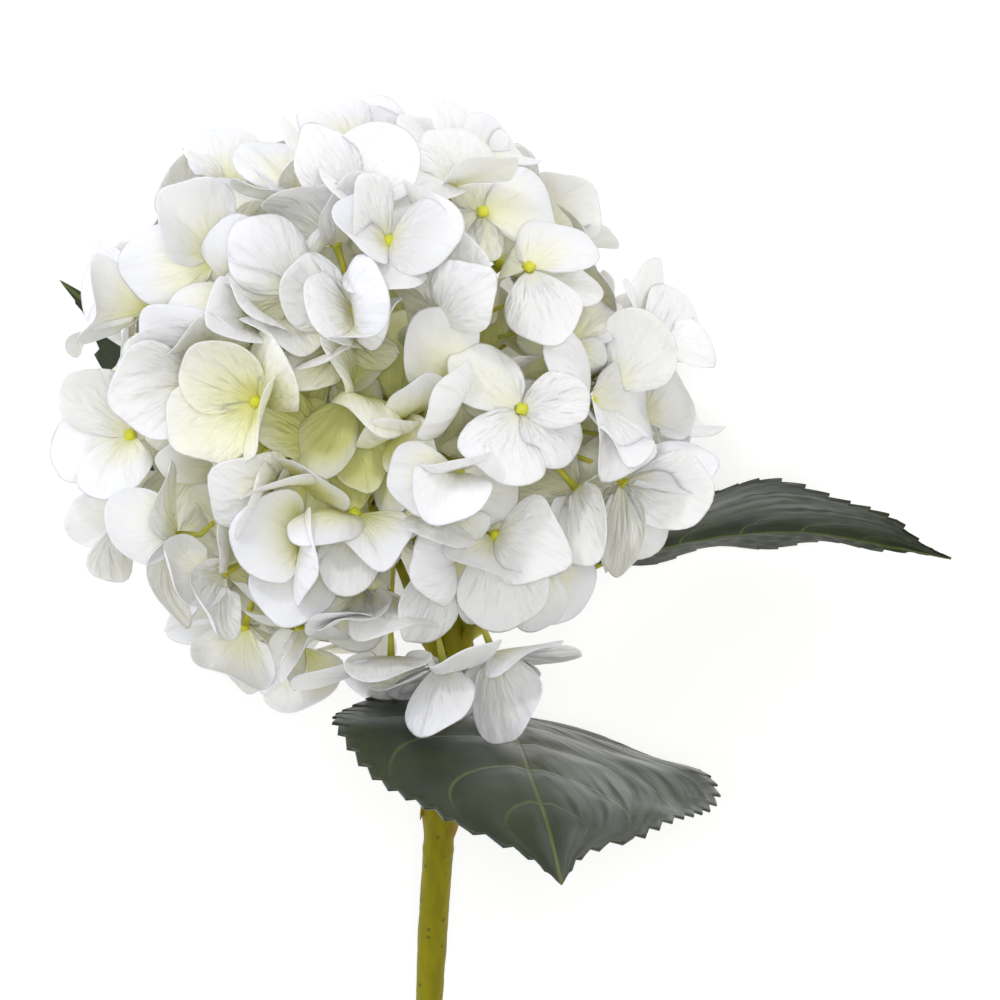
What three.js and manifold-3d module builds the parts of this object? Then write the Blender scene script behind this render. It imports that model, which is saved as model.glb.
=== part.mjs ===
// A cut mophead hydrangea lying on its back on a flat surface: a woody stem, three serrated leaves and a
// ball of four-sepalled florets in forked sprays. Millimetres, +Z up, the cut end of the stem towards -Y.
// Places are measured from the centre of the ball, and the finished group is then set on the surface.
import * as THREE from "three";
import { mergeVertices } from "three/addons/utils/BufferGeometryUtils.js";
import Module from "manifold-3d";

const wasm = await Module();
wasm.setup();

// Driving dimensions of the head
const headLift = 74; // height of the ball's centre above the surface
const sepalLength = 24;
const sepalHalfWidth = 12;
const sepalThickness = 0.7;
const hubRadius = 3.2; // where a floret's four sepals part
const hubRise = 0.4; // how far the notches between the sepals stand before the floret's middle
const hollowing = 1.4; // how far a sepal's middle dips behind its edges
const edgeTwist = 0.8; // how far a sepal's two edges lean to opposite sides at most
const beadHeight = 2.4; // the raised middle of a floret
const neckLength = 6; // from a floret down to the bend in its stalk
const pedicelRadius = 0.65;
const pedicelSides = 4;
const rootReach = 2.6; // a stalk starts this far from the middle of its fork
const rayRadius = 1.5;
const raySides = 6;
const forkOrbit = 30; // distance of the forks from the centre
const forkRadius = 4.2;
const forkRoom = 6; // stalks may touch each other up to this far from the middle of their fork
const seatGap = 0.3; // clearance between pieces that touch
const sliverWidth = 0.02; // facets slimmer than this are merged into their neighbours
const surfaceClearance = 0.5; // lowest sepals to the surface
const pressedLeafClearance = 3; // lowest sepals to the surface over the pressed leaf
const pressedLeafEdge = { x: 10, y: -50 }; // the pressed leaf lies to the left of and beyond this

// Driving dimensions of the stem
const knobRadius = 6.2; // the swollen top of the stem, where the first rays leave it
const rachisRadius = 3.4; // the stem's last stretch, inside the ball
const rachisTipRadius = 4.2;
const stemTopRadius = 4.4;
const nodeSwelling = 1.9; // how much thicker the stem is where leaves leave it
const stemSides = 10;

// Driving dimensions of the leaves
const leafThickness = 0.8;
const petioleRadius = 1.9;
const petioleSides = 8;
const petioleSteps = 8;
const toothDepth = 1.8;
const widestAt = 0.36; // a leaf is widest here, as a fraction of its length
const slimmestHalfWidth = 0.9;
const waveCount = 3; // waves along a leaf's edge

const petalWhite = new THREE.Color("#f1f1ea");
const stemGreen = new THREE.Color("#7d7a2a");
const leafGreen = new THREE.Color("#36452f");

// Florets of the side that faces up: x, y, z of the middle, the way one sepal points in the view from
// above (degrees), how far the sepals are cupped (degrees) and the size against the usual floret
const upperFlorets = [
  [42, -1, 76, 45, 4, 1],
  [25, -18, 78, 16, 8, 1],
  [7, 43, 67, 30, 22, 1],
  [-16, 30, 66, 133, 24, 1.05],
  [44, 37, 54, 45, 20, 1],
  [-28, 1, 66, 143, 25, 1.1],
  [21, 23, 66, 95, 35, 1],
  [-2, 22, 62, 10, 40, 0.95],
  [23, 60, 40, 28, 25, 1],
  [20, -30, 66, -31, 20, 0.9],
  [24, -42, 57, 205, 20, 1.1],
  [35, -37, 57, 77, 35, 1],
  [57, -22, 50, 58, 25, 1],
  [-20, -21, 58, 32, 45, 0.95],
  [-16, -37, 57, 55, 35, 1],
  [-1, -26, 60, 22, 45, 1],
  [-51, -35, 42, 10, 20, 1.05],
  [-45, 8, 54, 192, 20, 1.1],
  [-41, 41, 45, 131, 25, 1.05],
  [60, 2, 48, 110, 30, 1],
  [32, 54, 42, 16, 10, 0.95],
  [-7, 44, 55, 80, 40, 0.95],
  [-3, 66, 20, 27, 30, 1],
  [28, 66, 14, 45, 25, 1],
  [-18, 57, 38, 30, 30, 0.95],
  [-42, 58, 16, 23, 22, 1],
  [-27, 26, 52, 45, 48, 0.95],
  [26, 2, 60, 22, 48, 0.95],
  [-59, 28, 30, 90, 28, 1.05],
  [-26, -10, 54, 0, 50, 0.95],
  [-64, -8, 34, 15, 22, 1.05],
  [-65, -28, 10, 20, 22, 1],
  [-36, -47, 44, 75, 28, 1],
  [-38, -58, 24, 5, 22, 1.05],
  [-14, -58, 38, 27, 28, 0.95],
  [-22, -68, 6, 9, 20, 0.95],
  [-3, 2, 54, 70, 52, 0.95],
  [6, -52, 50, 19, 30, 0.9],
  [46, -44, 34, 59, 22, 0.95],
  [54, 20, 44, 52, 28, 0.95],
  [68, 6, 36, -9, 30, 0.95],
  [78, 16, 20, 47, 24, 1],
  [77, -5, 16, 41, 28, 0.95],
  [71, -20, 30, -13, 24, 1.05],
];

// Florets that hang below the ball, over the stem: x, y, z, turn, cup and size, and the way they face
const hangingFlorets = [
  [0, -68, 40, 10, 40, 0.85, [-0.35, -1, 0.3]],
  [21, -72, 46, 40, 46, 0.9, [0.05, -1, 0.35]],
  [42, -67, 42, -10, 40, 0.85, [0.45, -1, 0.3]],
];

const stretchSpread = 0.07; // how much sepals differ in length
const tightestCup = 46; // no floret is cupped more than this, in degrees
const pairLean = 5; // the two opposite pairs of sepals differ by about twice this, in degrees

const lowerFloretCount = 62; // even steps over a whole ball, of which those on its hidden side are kept
const lowerSeparation = 26; // least distance from a hidden floret to one of the lists above
const stemClearAngle = 30; // hidden florets keep this many degrees away from the stem
const lowerCup = 30;
const lowerOrbit = 67;
const lowerSize = 0.98;
const lowerTop = 0.25; // the hidden florets reach up to this fraction of the ball's radius over its centre
const sprayCount = 14;
const sprayReach = 1.72; // the sprays stop short of the stem by the rest of the ball's height, 2
const goldenTurn = Math.PI * (3 - Math.sqrt(5));
// What a crossing inside a spray counts against a floret's departure from its place
const crossingCost = 120;

const knobCentre = new THREE.Vector3(20, -46, -8);
const rachisTip = new THREE.Vector3(3, -6, 0);
const stemRoute = [
  { at: [23.5, -70, -14], radius: 4.3 },
  { at: [19.5, -115, -25.4], radius: 4.3 },
  { at: [16, -170, -38.8], radius: 3.6 },
  { at: [14.5, -235, -54.7], radius: 3.6 },
  { at: [14, -302, -70.2], radius: 3.8 },
];
const upperNodeAt = 0.085; // leaf pairs leave the stem here, as fractions of its length
const lowerNodeAt = 0.265;
const swellingLength = 0.022;
const stemSteps = 34;

const leaves = [
  {
    name: "leaf_front",
    petiole: [[20, -110, -24], [26, -98, -14]],
    midrib: [[33, -84, -3], [36, -92, 30], [40, -101, 63], [46, -114, 90], [53, -128, 107]],
    side: [0.985, -0.174, 0.05],
    halfWidth: 54,
    lift: [0.3, 0.05],
    wave: 0.05,
    teeth: 20,
    columns: [-1, -0.5, 0, 0.5, 1],
  },
  {
    name: "leaf_right",
    petiole: [[23.2, -66, -13], [42, -55, -18]],
    midrib: [[62, -44, -23], [92, -31, -27], [122, -27, -29], [147, -33, -31], [166, -41, -33]],
    side: [0, -0.26, -0.965],
    halfWidth: 37,
    lift: [0.12, 0.12],
    wave: 0.04,
    teeth: 18,
    columns: [-1, 0, 1],
  },
  {
    name: "leaf_left",
    petiole: [[23.2, -66, -13], [11, -58, -27]],
    midrib: [[-3, -45, -44], [-20, -29, -66], [-42, -8, -75], [-70, 19, -75], [-94, 40, -75]],
    side: [-0.68, -0.73, 0],
    halfWidth: 39,
    lift: [0, 0],
    wave: 0,
    teeth: 18,
    columns: [-1, 0, 1],
  },
];

const vector = (values) => new THREE.Vector3(...values);
const radians = THREE.MathUtils.degToRad;

function seededRandom(seed) {
  let state = seed;
  return () => {
    state = (state * 16807) % 2147483647;
    return state / 2147483647;
  };
}

function closedGeometry(points, triangles) {
  const geometry = new THREE.BufferGeometry();
  const positions = points.flatMap((p) => [p.x, p.y, p.z]);
  geometry.setAttribute("position", new THREE.Float32BufferAttribute(positions, 3));
  geometry.setIndex(triangles.flat());
  return geometry;
}

function solidOf(geometry) {
  const bare = geometry.clone();
  bare.deleteAttribute("normal");
  bare.deleteAttribute("uv");
  const merged = mergeVertices(bare, 1e-4);
  const vertProperties = new Float32Array(merged.attributes.position.array);
  const triVerts = new Uint32Array(merged.index.array);
  return new wasm.Manifold(new wasm.Mesh({ numProp: 3, vertProperties, triVerts }));
}

// One body: hollows that joining sealed are filled, and loose scraps are dropped
function oneBody(parts) {
  const shells = wasm.Manifold.union(parts).simplify(sliverWidth).decompose();
  return shells.reduce((largest, shell) => (shell.volume() > largest.volume() ? shell : largest));
}

function meshOf(name, solid, color, roughness) {
  const { vertProperties, triVerts } = solid.getMesh();
  const geometry = new THREE.BufferGeometry();
  geometry.setAttribute("position", new THREE.BufferAttribute(vertProperties, 3));
  geometry.setIndex(new THREE.BufferAttribute(triVerts, 1));
  geometry.computeVertexNormals();
  const mesh = new THREE.Mesh(geometry, new THREE.MeshStandardMaterial({ color, roughness, metalness: 0 }));
  mesh.name = name;
  return mesh;
}

// A closed tube along a curve; the radius is a function of the way along it, from 0 to 1
function taperedTube(curve, radiusAt, sides, steps) {
  const frames = curve.computeFrenetFrames(steps);
  const points = [curve.getPointAt(0)];
  for (let step = 0; step <= steps; step += 1) {
    const middle = curve.getPointAt(step / steps);
    for (let side = 0; side < sides; side += 1) {
      const angle = (2 * Math.PI * side) / sides;
      const spoke = frames.normals[step].clone().multiplyScalar(Math.cos(angle));
      spoke.addScaledVector(frames.binormals[step], Math.sin(angle));
      points.push(middle.clone().addScaledVector(spoke, radiusAt(step / steps)));
    }
  }
  points.push(curve.getPointAt(1));
  const last = points.length - 1;
  const triangles = [];
  for (let side = 0; side < sides; side += 1) {
    const next = (side + 1) % sides;
    triangles.push([0, 1 + next, 1 + side]);
    for (let step = 0; step < steps; step += 1) {
      const ring = 1 + step * sides;
      triangles.push([ring + side, ring + next, ring + sides + next]);
      triangles.push([ring + side, ring + sides + next, ring + sides + side]);
    }
    const top = 1 + steps * sides;
    triangles.push([last, top + side, top + next]);
  }
  return closedGeometry(points, triangles);
}

function straightTube(from, to, radiusFrom, radiusTo, sides) {
  const radiusAt = (way) => THREE.MathUtils.lerp(radiusFrom, radiusTo, way);
  return taperedTube(new THREE.LineCurve3(from, to), radiusAt, sides, 1);
}

function ball(centre, radius) {
  return solidOf(new THREE.SphereGeometry(radius, 10, 7).translate(centre.x, centre.y, centre.z));
}

// The stem

const stemCurve = new THREE.CatmullRomCurve3([knobCentre, ...stemRoute.map((stop) => vector(stop.at))]);

function stemRadius(way) {
  const radii = [stemTopRadius, ...stemRoute.map((stop) => stop.radius)];
  const stop = Math.min(Math.floor(way * (radii.length - 1)), radii.length - 2);
  const plain = THREE.MathUtils.lerp(radii[stop], radii[stop + 1], way * (radii.length - 1) - stop);
  const swelling = (node) => nodeSwelling * Math.exp(-(((way - node) / swellingLength) ** 2));
  return plain + swelling(upperNodeAt) + swelling(lowerNodeAt);
}

// The stem, or with a clearance the room that the pieces growing from it leave for it
function buildStem(clearance) {
  const shaft = taperedTube(stemCurve, (way) => stemRadius(way) + clearance, stemSides, stemSteps);
  const [lower, upper] = [stemTopRadius + clearance, rachisRadius + clearance];
  const rachis = straightTube(knobCentre, rachisTip, lower, upper, stemSides);
  const knobs = [ball(knobCentre, knobRadius + clearance), ball(rachisTip, rachisTipRadius + clearance)];
  return wasm.Manifold.union([solidOf(shaft), solidOf(rachis), ...knobs]);
}

// The leaves

// Half the width of a leaf along its length: a round shoulder, then a drawn-out tip
function leafOutline(way) {
  const shoulder = Math.min(1, way / widestAt);
  const taper = Math.max(0, (way - widestAt) / (1 - widestAt));
  return Math.sin((shoulder * Math.PI) / 2) ** 0.75 * (1 - taper ** 1.7);
}

// No point of a blade goes through the surface that the plant lies on
function pressed(point, above) {
  return point.setZ(Math.max(point.z, above - headLift));
}

// A pair of points, one on each face of a blade
function bladePair(point, up) {
  const upper = point.clone().addScaledVector(up, leafThickness / 2);
  const under = point.clone().addScaledVector(up, -leafThickness / 2);
  return [pressed(upper, leafThickness), pressed(under, 0)];
}

// Rows of points across a blade, each a pair for the two faces; every second row is a notch
function bladeRows(rib, { side, halfWidth, lift, wave, teeth, columns }) {
  const across = vector(side).normalize();
  const stations = 2 * teeth;
  const rows = [];
  for (let station = 0; station <= stations; station += 1) {
    const way = station / stations;
    const along = rib.getTangentAt(way);
    const level = across.clone().addScaledVector(along, -across.dot(along)).normalize();
    const up = along.clone().cross(level).normalize();
    const atEnd = station === 0 || station === stations;
    const notch = station % 2 === 0 ? toothDepth * Math.min(1, 4 * way, 4 * (1 - way)) : 0;
    rows.push((atEnd ? [0] : columns).map((column) => {
      const edge = Math.abs(column);
      const reach = edge * halfWidth * leafOutline(way) - (edge === 1 ? notch : 0);
      const ripple = edge * wave * Math.sin(2 * Math.PI * waveCount * way + column);
      const rise = (column < 0 ? lift[0] : lift[1]) + ripple;
      const point = rib.getPointAt(way);
      const sideways = Math.sign(column) * Math.max(reach, slimmestHalfWidth * edge) * Math.cos(rise);
      point.addScaledVector(level, sideways).addScaledVector(up, Math.max(reach, 0) * Math.sin(rise));
      return bladePair(point, up);
    }));
  }
  return rows;
}

function bladeGeometry(rows) {
  const points = rows.flat(2);
  const starts = rows.map((_, row) => 2 * rows.slice(0, row).reduce((sum, pairs) => sum + pairs.length, 0));
  const triangles = [];
  // Both faces of one cell get the same split
  const cell = (a, b, c) => triangles.push([a, b, c], [a + 1, c + 1, b + 1]);
  const wall = (a, b) => triangles.push([a, a + 1, b + 1], [a, b + 1, b]);
  for (let row = 0; row < rows.length - 1; row += 1) {
    const [near, far] = [starts[row], starts[row + 1]];
    const [nearLast, farLast] = [rows[row].length - 1, rows[row + 1].length - 1];
    for (let column = 0; column < Math.max(nearLast, farLast); column += 1) {
      const [a, b] = [near + 2 * Math.min(column, nearLast), near + 2 * Math.min(column + 1, nearLast)];
      const [c, d] = [far + 2 * Math.min(column, farLast), far + 2 * Math.min(column + 1, farLast)];
      if (c !== d) {
        cell(a, c, d);
      }
      if (a !== b) {
        cell(a, d, b);
      }
    }
    wall(near, far);
    wall(far + 2 * farLast, near + 2 * nearLast);
  }
  return closedGeometry(points, triangles);
}

function buildLeaf(leaf, stemRoom) {
  const rib = new THREE.CatmullRomCurve3(leaf.midrib.map(vector));
  const blade = solidOf(bladeGeometry(bladeRows(rib, leaf)));
  const stalkCurve = new THREE.CatmullRomCurve3([...leaf.petiole.map(vector), rib.getPointAt(0.06)]);
  const stalk = taperedTube(stalkCurve, (way) => petioleRadius * (1 - way / 2), petioleSides, petioleSteps);
  return oneBody([blade.add(solidOf(stalk)).subtract(stemRoom)]);
}

// The florets

// One sepal's edge, as fractions of its length and half width, from the shared root to the tip
const sepalEdge = [[0.48, 0.92], [0.84, 0.7], [1, 0]];
const sepalMiddle = 0.56;
const sepalSector = 41; // a sepal stays this many degrees either side of its own direction

function floretFrame({ at, facing, turn }) {
  const axis = facing.clone().normalize();
  const heading = new THREE.Vector3(Math.cos(radians(turn)), Math.sin(radians(turn)), 0);
  const first = heading.addScaledVector(axis, -heading.dot(axis)).normalize();
  const second = axis.clone().cross(first);
  return new THREE.Matrix4().makeBasis(first, second, axis).setPosition(at);
}

// The two faces of a cupped sepal at a fraction of its length and half width
function sepalPair(floret, sepal, way, half) {
  const scale = floret.size * sepal.stretch;
  const inner = hubRadius * 0.4;
  const cup = radians(floret.cup + sepal.lean);
  const lean = cup * (0.55 + 0.6 * way);
  const slope = cup * (0.55 + 1.2 * way);
  const reach = (sepalLength * scale - inner) * way;
  const out = inner + reach * Math.cos(lean);
  const limit = out * Math.tan(radians(sepalSector));
  const sideways = THREE.MathUtils.clamp(half * sepalHalfWidth * scale, -limit, limit);
  const dip = half === 0 && way < 1 ? hollowing : 0;
  const twist = edgeTwist * Math.sign(half) * sepal.twist * way;
  const point = new THREE.Vector3(out, sideways, reach * Math.sin(lean) - dip + twist);
  const wall = new THREE.Vector3(-Math.sin(slope), 0, Math.cos(slope)).multiplyScalar(sepalThickness / 2);
  const faces = [point.clone().add(wall), point.clone().sub(wall)];
  return faces.map((face) => face.applyAxisAngle(new THREE.Vector3(0, 0, 1), radians(90 * sepal.index)));
}

// A floret is one closed mesh: four sepals that share their notches, a raised middle and the stalk below
function floretGeometry(floret, root) {
  const frame = floretFrame(floret);
  const points = [];
  const triangles = [];
  const addPair = (faces) => points.push(...faces.map((face) => face.applyMatrix4(frame))) - 2;
  const notches = floret.sepals.map((sepal) => {
    const angle = radians(90 * sepal.index - 45);
    const faceAt = (z) => new THREE.Vector3(hubRadius * Math.cos(angle), hubRadius * Math.sin(angle), z);
    return addPair([faceAt(hubRise + sepalThickness / 2), faceAt(hubRise - sepalThickness / 2)]);
  });
  for (const sepal of floret.sepals) {
    const addPoint = (way, half) => addPair(sepalPair(floret, sepal, way, half));
    const right = sepalEdge.slice(0, -1).map(([way, half]) => addPoint(way, -half));
    const tip = addPoint(1, 0);
    const left = sepalEdge.slice(0, -1).map(([way, half]) => addPoint(way, half)).reverse();
    const rim = [notches[sepal.index], ...right, tip, ...left, notches[(sepal.index + 1) % 4]];
    const middle = addPoint(sepalMiddle, 0);
    for (let i = 0; i < rim.length - 1; i += 1) {
      const [a, b] = [rim[i], rim[i + 1]];
      triangles.push([middle, a, b], [middle + 1, b + 1, a + 1]);
      triangles.push([a, a + 1, b + 1], [a, b + 1, b]);
    }
    triangles.push([middle, rim[rim.length - 1], rim[0]], [middle + 1, rim[0] + 1, rim[rim.length - 1] + 1]);
  }
  const top = points.push(new THREE.Vector3(0, 0, beadHeight).applyMatrix4(frame)) - 1;
  notches.forEach((notch, i) => triangles.push([top, notch, notches[(i + 1) % 4]]));
  addStalk(floret, frame, root, notches, points, triangles);
  return closedGeometry(points, triangles);
}

// The stalk runs from under the four notches, round a bend, to the fork that the floret grows from
function addStalk(floret, frame, root, notches, points, triangles) {
  const bend = new THREE.Vector3(0, 0, -neckLength).applyMatrix4(frame);
  const along = bend.clone().sub(root).normalize();
  const rings = [notches.map((notch) => notch + 1)];
  for (const [centre, radius] of [[bend, pedicelRadius], [root, pedicelRadius]]) {
    const ring = [];
    for (let side = 0; side < pedicelSides; side += 1) {
      const angle = radians(90 * side - 45);
      const spoke = new THREE.Vector3(Math.cos(angle), Math.sin(angle), 0).transformDirection(frame);
      spoke.addScaledVector(along, -spoke.dot(along)).normalize();
      ring.push(points.push(centre.clone().addScaledVector(spoke, radius)) - 1);
    }
    rings.push(ring);
  }
  for (let i = 0; i < rings.length - 1; i += 1) {
    for (let side = 0; side < pedicelSides; side += 1) {
      const next = (side + 1) % pedicelSides;
      triangles.push([rings[i][side], rings[i + 1][side], rings[i + 1][next]]);
      triangles.push([rings[i][side], rings[i + 1][next], rings[i][next]]);
    }
  }
  const end = rings[rings.length - 1];
  triangles.push([end[0], end[2], end[1]], [end[0], end[3], end[2]]);
}

function makeFloret(at, turn, cup, size, facing, random) {
  const spread = (amount) => (random() * 2 - 1) * amount;
  const sepals = [0, 1, 2, 3].map((index) => ({
    index,
    stretch: 1 + spread(stretchSpread),
    lean: (index % 2 === 0 ? pairLean : -pairLean) + spread(pairLean),
    twist: spread(1),
  }));
  return { at, turn, cup, size, facing, sepals };
}

function listFlorets() {
  const random = seededRandom(417);
  const florets = hangingFlorets.map(([x, y, z, turn, cup, size, facing]) => {
    return makeFloret(new THREE.Vector3(x, y, z), turn, cup, size, vector(facing), random);
  });
  for (const [x, y, z, turn, cup, size] of upperFlorets) {
    const at = new THREE.Vector3(x, y, z);
    florets.push(makeFloret(at, turn, cup, size, at.clone(), random));
  }
  const stemWay = vector(stemRoute[0].at).normalize();
  for (let i = 0; i < lowerFloretCount; i += 1) {
    const z = 1 - (2 * i + 1) / lowerFloretCount;
    const flat = Math.sqrt(1 - z * z);
    const way = new THREE.Vector3(flat * Math.cos(i * goldenTurn), flat * Math.sin(i * goldenTurn), z);
    const at = way.clone().multiplyScalar(lowerOrbit);
    const crowded = florets.some((other) => other.at.distanceTo(at) < lowerSeparation);
    if (z < lowerTop && !crowded && way.angleTo(stemWay) > radians(stemClearAngle)) {
      florets.push(makeFloret(at, 360 * random(), lowerCup, lowerSize, way, random));
    }
  }
  return florets;
}

// The sprays

// Evenly spread directions, turned so that none of them runs along the stem
function sprayDirections() {
  const directions = [];
  for (let i = 0; i < sprayCount; i += 1) {
    const y = 1 - ((i + 0.5) * sprayReach) / sprayCount;
    const flat = Math.sqrt(Math.max(0, 1 - y * y));
    directions.push(new THREE.Vector3(flat * Math.cos(i * goldenTurn), y, flat * Math.sin(i * goldenTurn)));
  }
  return directions;
}

function nearestDirection(at, directions) {
  const way = at.clone().normalize();
  const nearer = (best, direction, i) => (direction.dot(way) > directions[best].dot(way) ? i : best);
  return directions.reduce(nearer, 0);
}

// Ways to ease a floret into the room that its neighbours leave, and what each departs from its place
function* easings() {
  for (const size of [1, 0.9, 0.8, 0.7]) {
    for (const sink of [0, 3, 6, 10, 14, 19, 24]) {
      for (const cup of [0, 12, 24, 36]) {
        for (const turn of [0, 22, -22, 45]) {
          const departure = 80 * (1 - size) + 2 * sink + 0.4 * cup + 0.1 * Math.abs(turn);
          yield { size, sink, cup, turn, departure };
        }
      }
    }
  }
}

function easedFloret(floret, easing) {
  const at = floret.at.clone().addScaledVector(floret.facing.clone().normalize(), -easing.sink);
  return {
    ...floret,
    at,
    size: floret.size * easing.size,
    cup: Math.min(tightestCup, floret.cup + easing.cup),
    turn: floret.turn + easing.turn,
  };
}

function nearby(candidate, placed) {
  const { min, max } = candidate.box;
  const meets = ({ box }, k) => min[k] < box.max[k] + 1 && max[k] > box.min[k] - 1;
  return placed.filter((other) => [0, 1, 2].every((k) => meets(other, k)));
}

// How much of a floret crosses its own spray, or Infinity where it comes too near to anything else
function crossing(candidate, placed) {
  const near = nearby(candidate, placed);
  const others = near.filter((other) => other.spray !== candidate.spray);
  if (others.some((other) => candidate.solid.minGap(other.solid, 1) < seatGap)) {
    return Infinity;
  }
  const kin = near.filter((other) => other.spray === candidate.spray);
  const room = ball(candidate.spray.fork, forkRoom);
  const shared = kin.map((other) => candidate.solid.intersect(other.solid).subtract(room).volume());
  return shared.reduce((sum, volume) => sum + (volume > 0 ? crossingCost + volume : 0), 0);
}

function lowestAllowed(at) {
  const overLeaf = at.x < pressedLeafEdge.x && at.y > pressedLeafEdge.y;
  return -headLift + (overLeaf ? pressedLeafClearance : surfaceClearance);
}

// The least changed form of a floret that keeps clear of the other sprays and of the surface
function settle(floret, spray, placed) {
  let best = null;
  for (const easing of easings()) {
    const eased = easedFloret(floret, easing);
    const outwards = eased.at.clone().sub(spray.fork).setLength(rootReach);
    const candidate = boxed(solidOf(floretGeometry(eased, spray.fork.clone().add(outwards))), spray);
    const least = best ? best.cost : Infinity;
    if (easing.departure < least && candidate.box.min[2] >= lowestAllowed(eased.at)) {
      const cost = easing.departure + crossing(candidate, placed);
      best = cost < least ? { ...candidate, cost } : best;
    }
  }
  return best;
}

function boxed(solid, spray) {
  return { solid, spray, box: solid.boundingBox() };
}

function buildSprays(stemRoom, grown) {
  const directions = sprayDirections();
  const sprays = directions.map((direction) => ({ fork: direction.clone().multiplyScalar(forkOrbit) }));
  sprays.forEach((spray) => {
    spray.parts = [buildRay(spray.fork, stemRoom)];
  });
  const placed = grown.map((solid) => boxed(solid, null));
  placed.push(...sprays.map((spray) => boxed(spray.parts[0], spray)));
  for (const floret of listFlorets()) {
    const spray = sprays[nearestDirection(floret.at, directions)];
    const settled = settle(floret, spray, placed);
    // A floret that finds no room of its own doesn't grow
    if (settled && settled.cost < crossingCost) {
      spray.parts.push(settled.solid);
      placed.push(settled);
    }
  }
  return sprays.map((spray) => oneBody(spray.parts));
}

// A ray starts on the stem's last stretch and ends in the fork that the stalks leave
function buildRay(fork, stemRoom) {
  const upwards = THREE.MathUtils.clamp((fork.y / forkOrbit + 0.75) / 1.1, 0, 1);
  const foot = knobCentre.clone().lerp(rachisTip, upwards);
  const stalk = solidOf(straightTube(foot, fork, rayRadius * 0.8, rayRadius, raySides));
  const joint = new THREE.IcosahedronGeometry(forkRadius).translate(fork.x, fork.y, fork.z);
  return oneBody([stalk.add(solidOf(joint)).subtract(stemRoom)]);
}

const plant = new THREE.Group();
const stem = buildStem(0);
const stemRoom = buildStem(seatGap);
const blades = leaves.map((leaf) => buildLeaf(leaf, stemRoom));
plant.add(meshOf("stem", oneBody([stem]), stemGreen, 0.6));
leaves.forEach((leaf, i) => plant.add(meshOf(leaf.name, blades[i], leafGreen, 0.45)));
buildSprays(stemRoom, [stem, ...blades]).forEach((spray, i) => {
  plant.add(meshOf(`spray_${String(i + 1).padStart(2, "0")}`, spray, petalWhite, 0.6));
});
const extent = new THREE.Box3().setFromObject(plant);
const middle = extent.getCenter(new THREE.Vector3());
plant.position.set(-middle.x, -middle.y, -extent.min.z);
export default plant;
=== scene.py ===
# A white mophead hydrangea, cut with its stem and three leaves, lying on its back and seen from above
import math
import random

import bmesh
import bpy
from mathutils import Matrix, Vector, noise
from mathutils.bvhtree import BVHTree


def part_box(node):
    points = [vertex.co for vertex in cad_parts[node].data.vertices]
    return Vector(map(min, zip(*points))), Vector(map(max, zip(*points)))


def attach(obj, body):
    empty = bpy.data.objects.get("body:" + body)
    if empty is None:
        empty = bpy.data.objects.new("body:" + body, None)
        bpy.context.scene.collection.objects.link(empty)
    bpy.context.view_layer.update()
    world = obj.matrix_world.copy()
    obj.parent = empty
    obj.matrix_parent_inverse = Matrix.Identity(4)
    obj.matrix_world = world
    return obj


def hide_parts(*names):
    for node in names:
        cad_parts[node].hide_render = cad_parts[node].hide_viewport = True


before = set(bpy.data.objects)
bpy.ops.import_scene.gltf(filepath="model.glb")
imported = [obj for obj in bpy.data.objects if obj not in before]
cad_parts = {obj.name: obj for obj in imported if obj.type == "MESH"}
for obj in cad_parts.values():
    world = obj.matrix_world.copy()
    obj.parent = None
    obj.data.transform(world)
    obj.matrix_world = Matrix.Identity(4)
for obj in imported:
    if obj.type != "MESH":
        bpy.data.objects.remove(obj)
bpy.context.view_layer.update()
print("frame loaded")

# Shapes are worked out in millimetres from the middle of the flower's ball and set in the frame at the end
mm = 0.001
headLift = 74.0
stemKnob = dict(x=3.0, y=-6.0, sideReach=4.095, endReach=4.2)  # the stem's inner end, from that middle
stemLow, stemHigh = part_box("stem")
headCentre = Vector((
    stemLow.x - (stemKnob["x"] - stemKnob["sideReach"]) * mm,
    stemHigh.y - (stemKnob["y"] + stemKnob["endReach"]) * mm,
    headLift * mm,
))

# The picture: how far off the camera is, what one picture unit measures, and where its middle falls
view = dict(distance=1300.0, unit=0.28, middle=(36.4, -25.2), sensor=36.0, width=1000)


def seen(across, down, height):
    # the place that shows at a picture point, at a height over the ball's middle
    shrink = (view["distance"] - height) / view["distance"] * view["unit"]
    half = view["width"] / 2
    x = view["middle"][0] + (across - half) * shrink
    y = view["middle"][1] + (half - down) * shrink
    return Vector((x, y, height))


def lineThrough(stops, steps, finely=30):
    # a smooth line through the stops, drawn finely between them and then cut in even steps
    ends = [Vector(stop) for stop in stops]
    ends = [2 * ends[0] - ends[1]] + ends + [2 * ends[-1] - ends[-2]]
    fine = []
    for a, b, c, d in zip(ends, ends[1:], ends[2:], ends[3:]):
        before, here, after = ((q - p).length ** 0.5 for p, q in ((a, b), (b, c), (c, d)))
        leave = ((b - a) / before - (c - a) / (before + here) + (c - b) / here) * here
        arrive = ((c - b) / here - (d - b) / (here + after) + (d - c) / after) * here
        for i in range(finely):
            t = i / finely
            bend = (3 * (c - b) - 2 * leave - arrive) * t * t + (2 * (b - c) + leave + arrive) * t ** 3
            fine.append(b + leave * t + bend)
    fine.append(ends[-2])
    lengths = [0.0]
    for p, q in zip(fine, fine[1:]):
        lengths.append(lengths[-1] + (q - p).length)
    line = []
    k = 0
    for i in range(steps + 1):
        goal = lengths[-1] * i / steps
        while k < len(lengths) - 2 and lengths[k + 1] < goal:
            k += 1
        line.append(fine[k].lerp(fine[k + 1], (goal - lengths[k]) / (lengths[k + 1] - lengths[k])))
    return line


def bell(distance, width):
    return math.exp(-((distance / width) ** 2))


# Meshes

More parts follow.
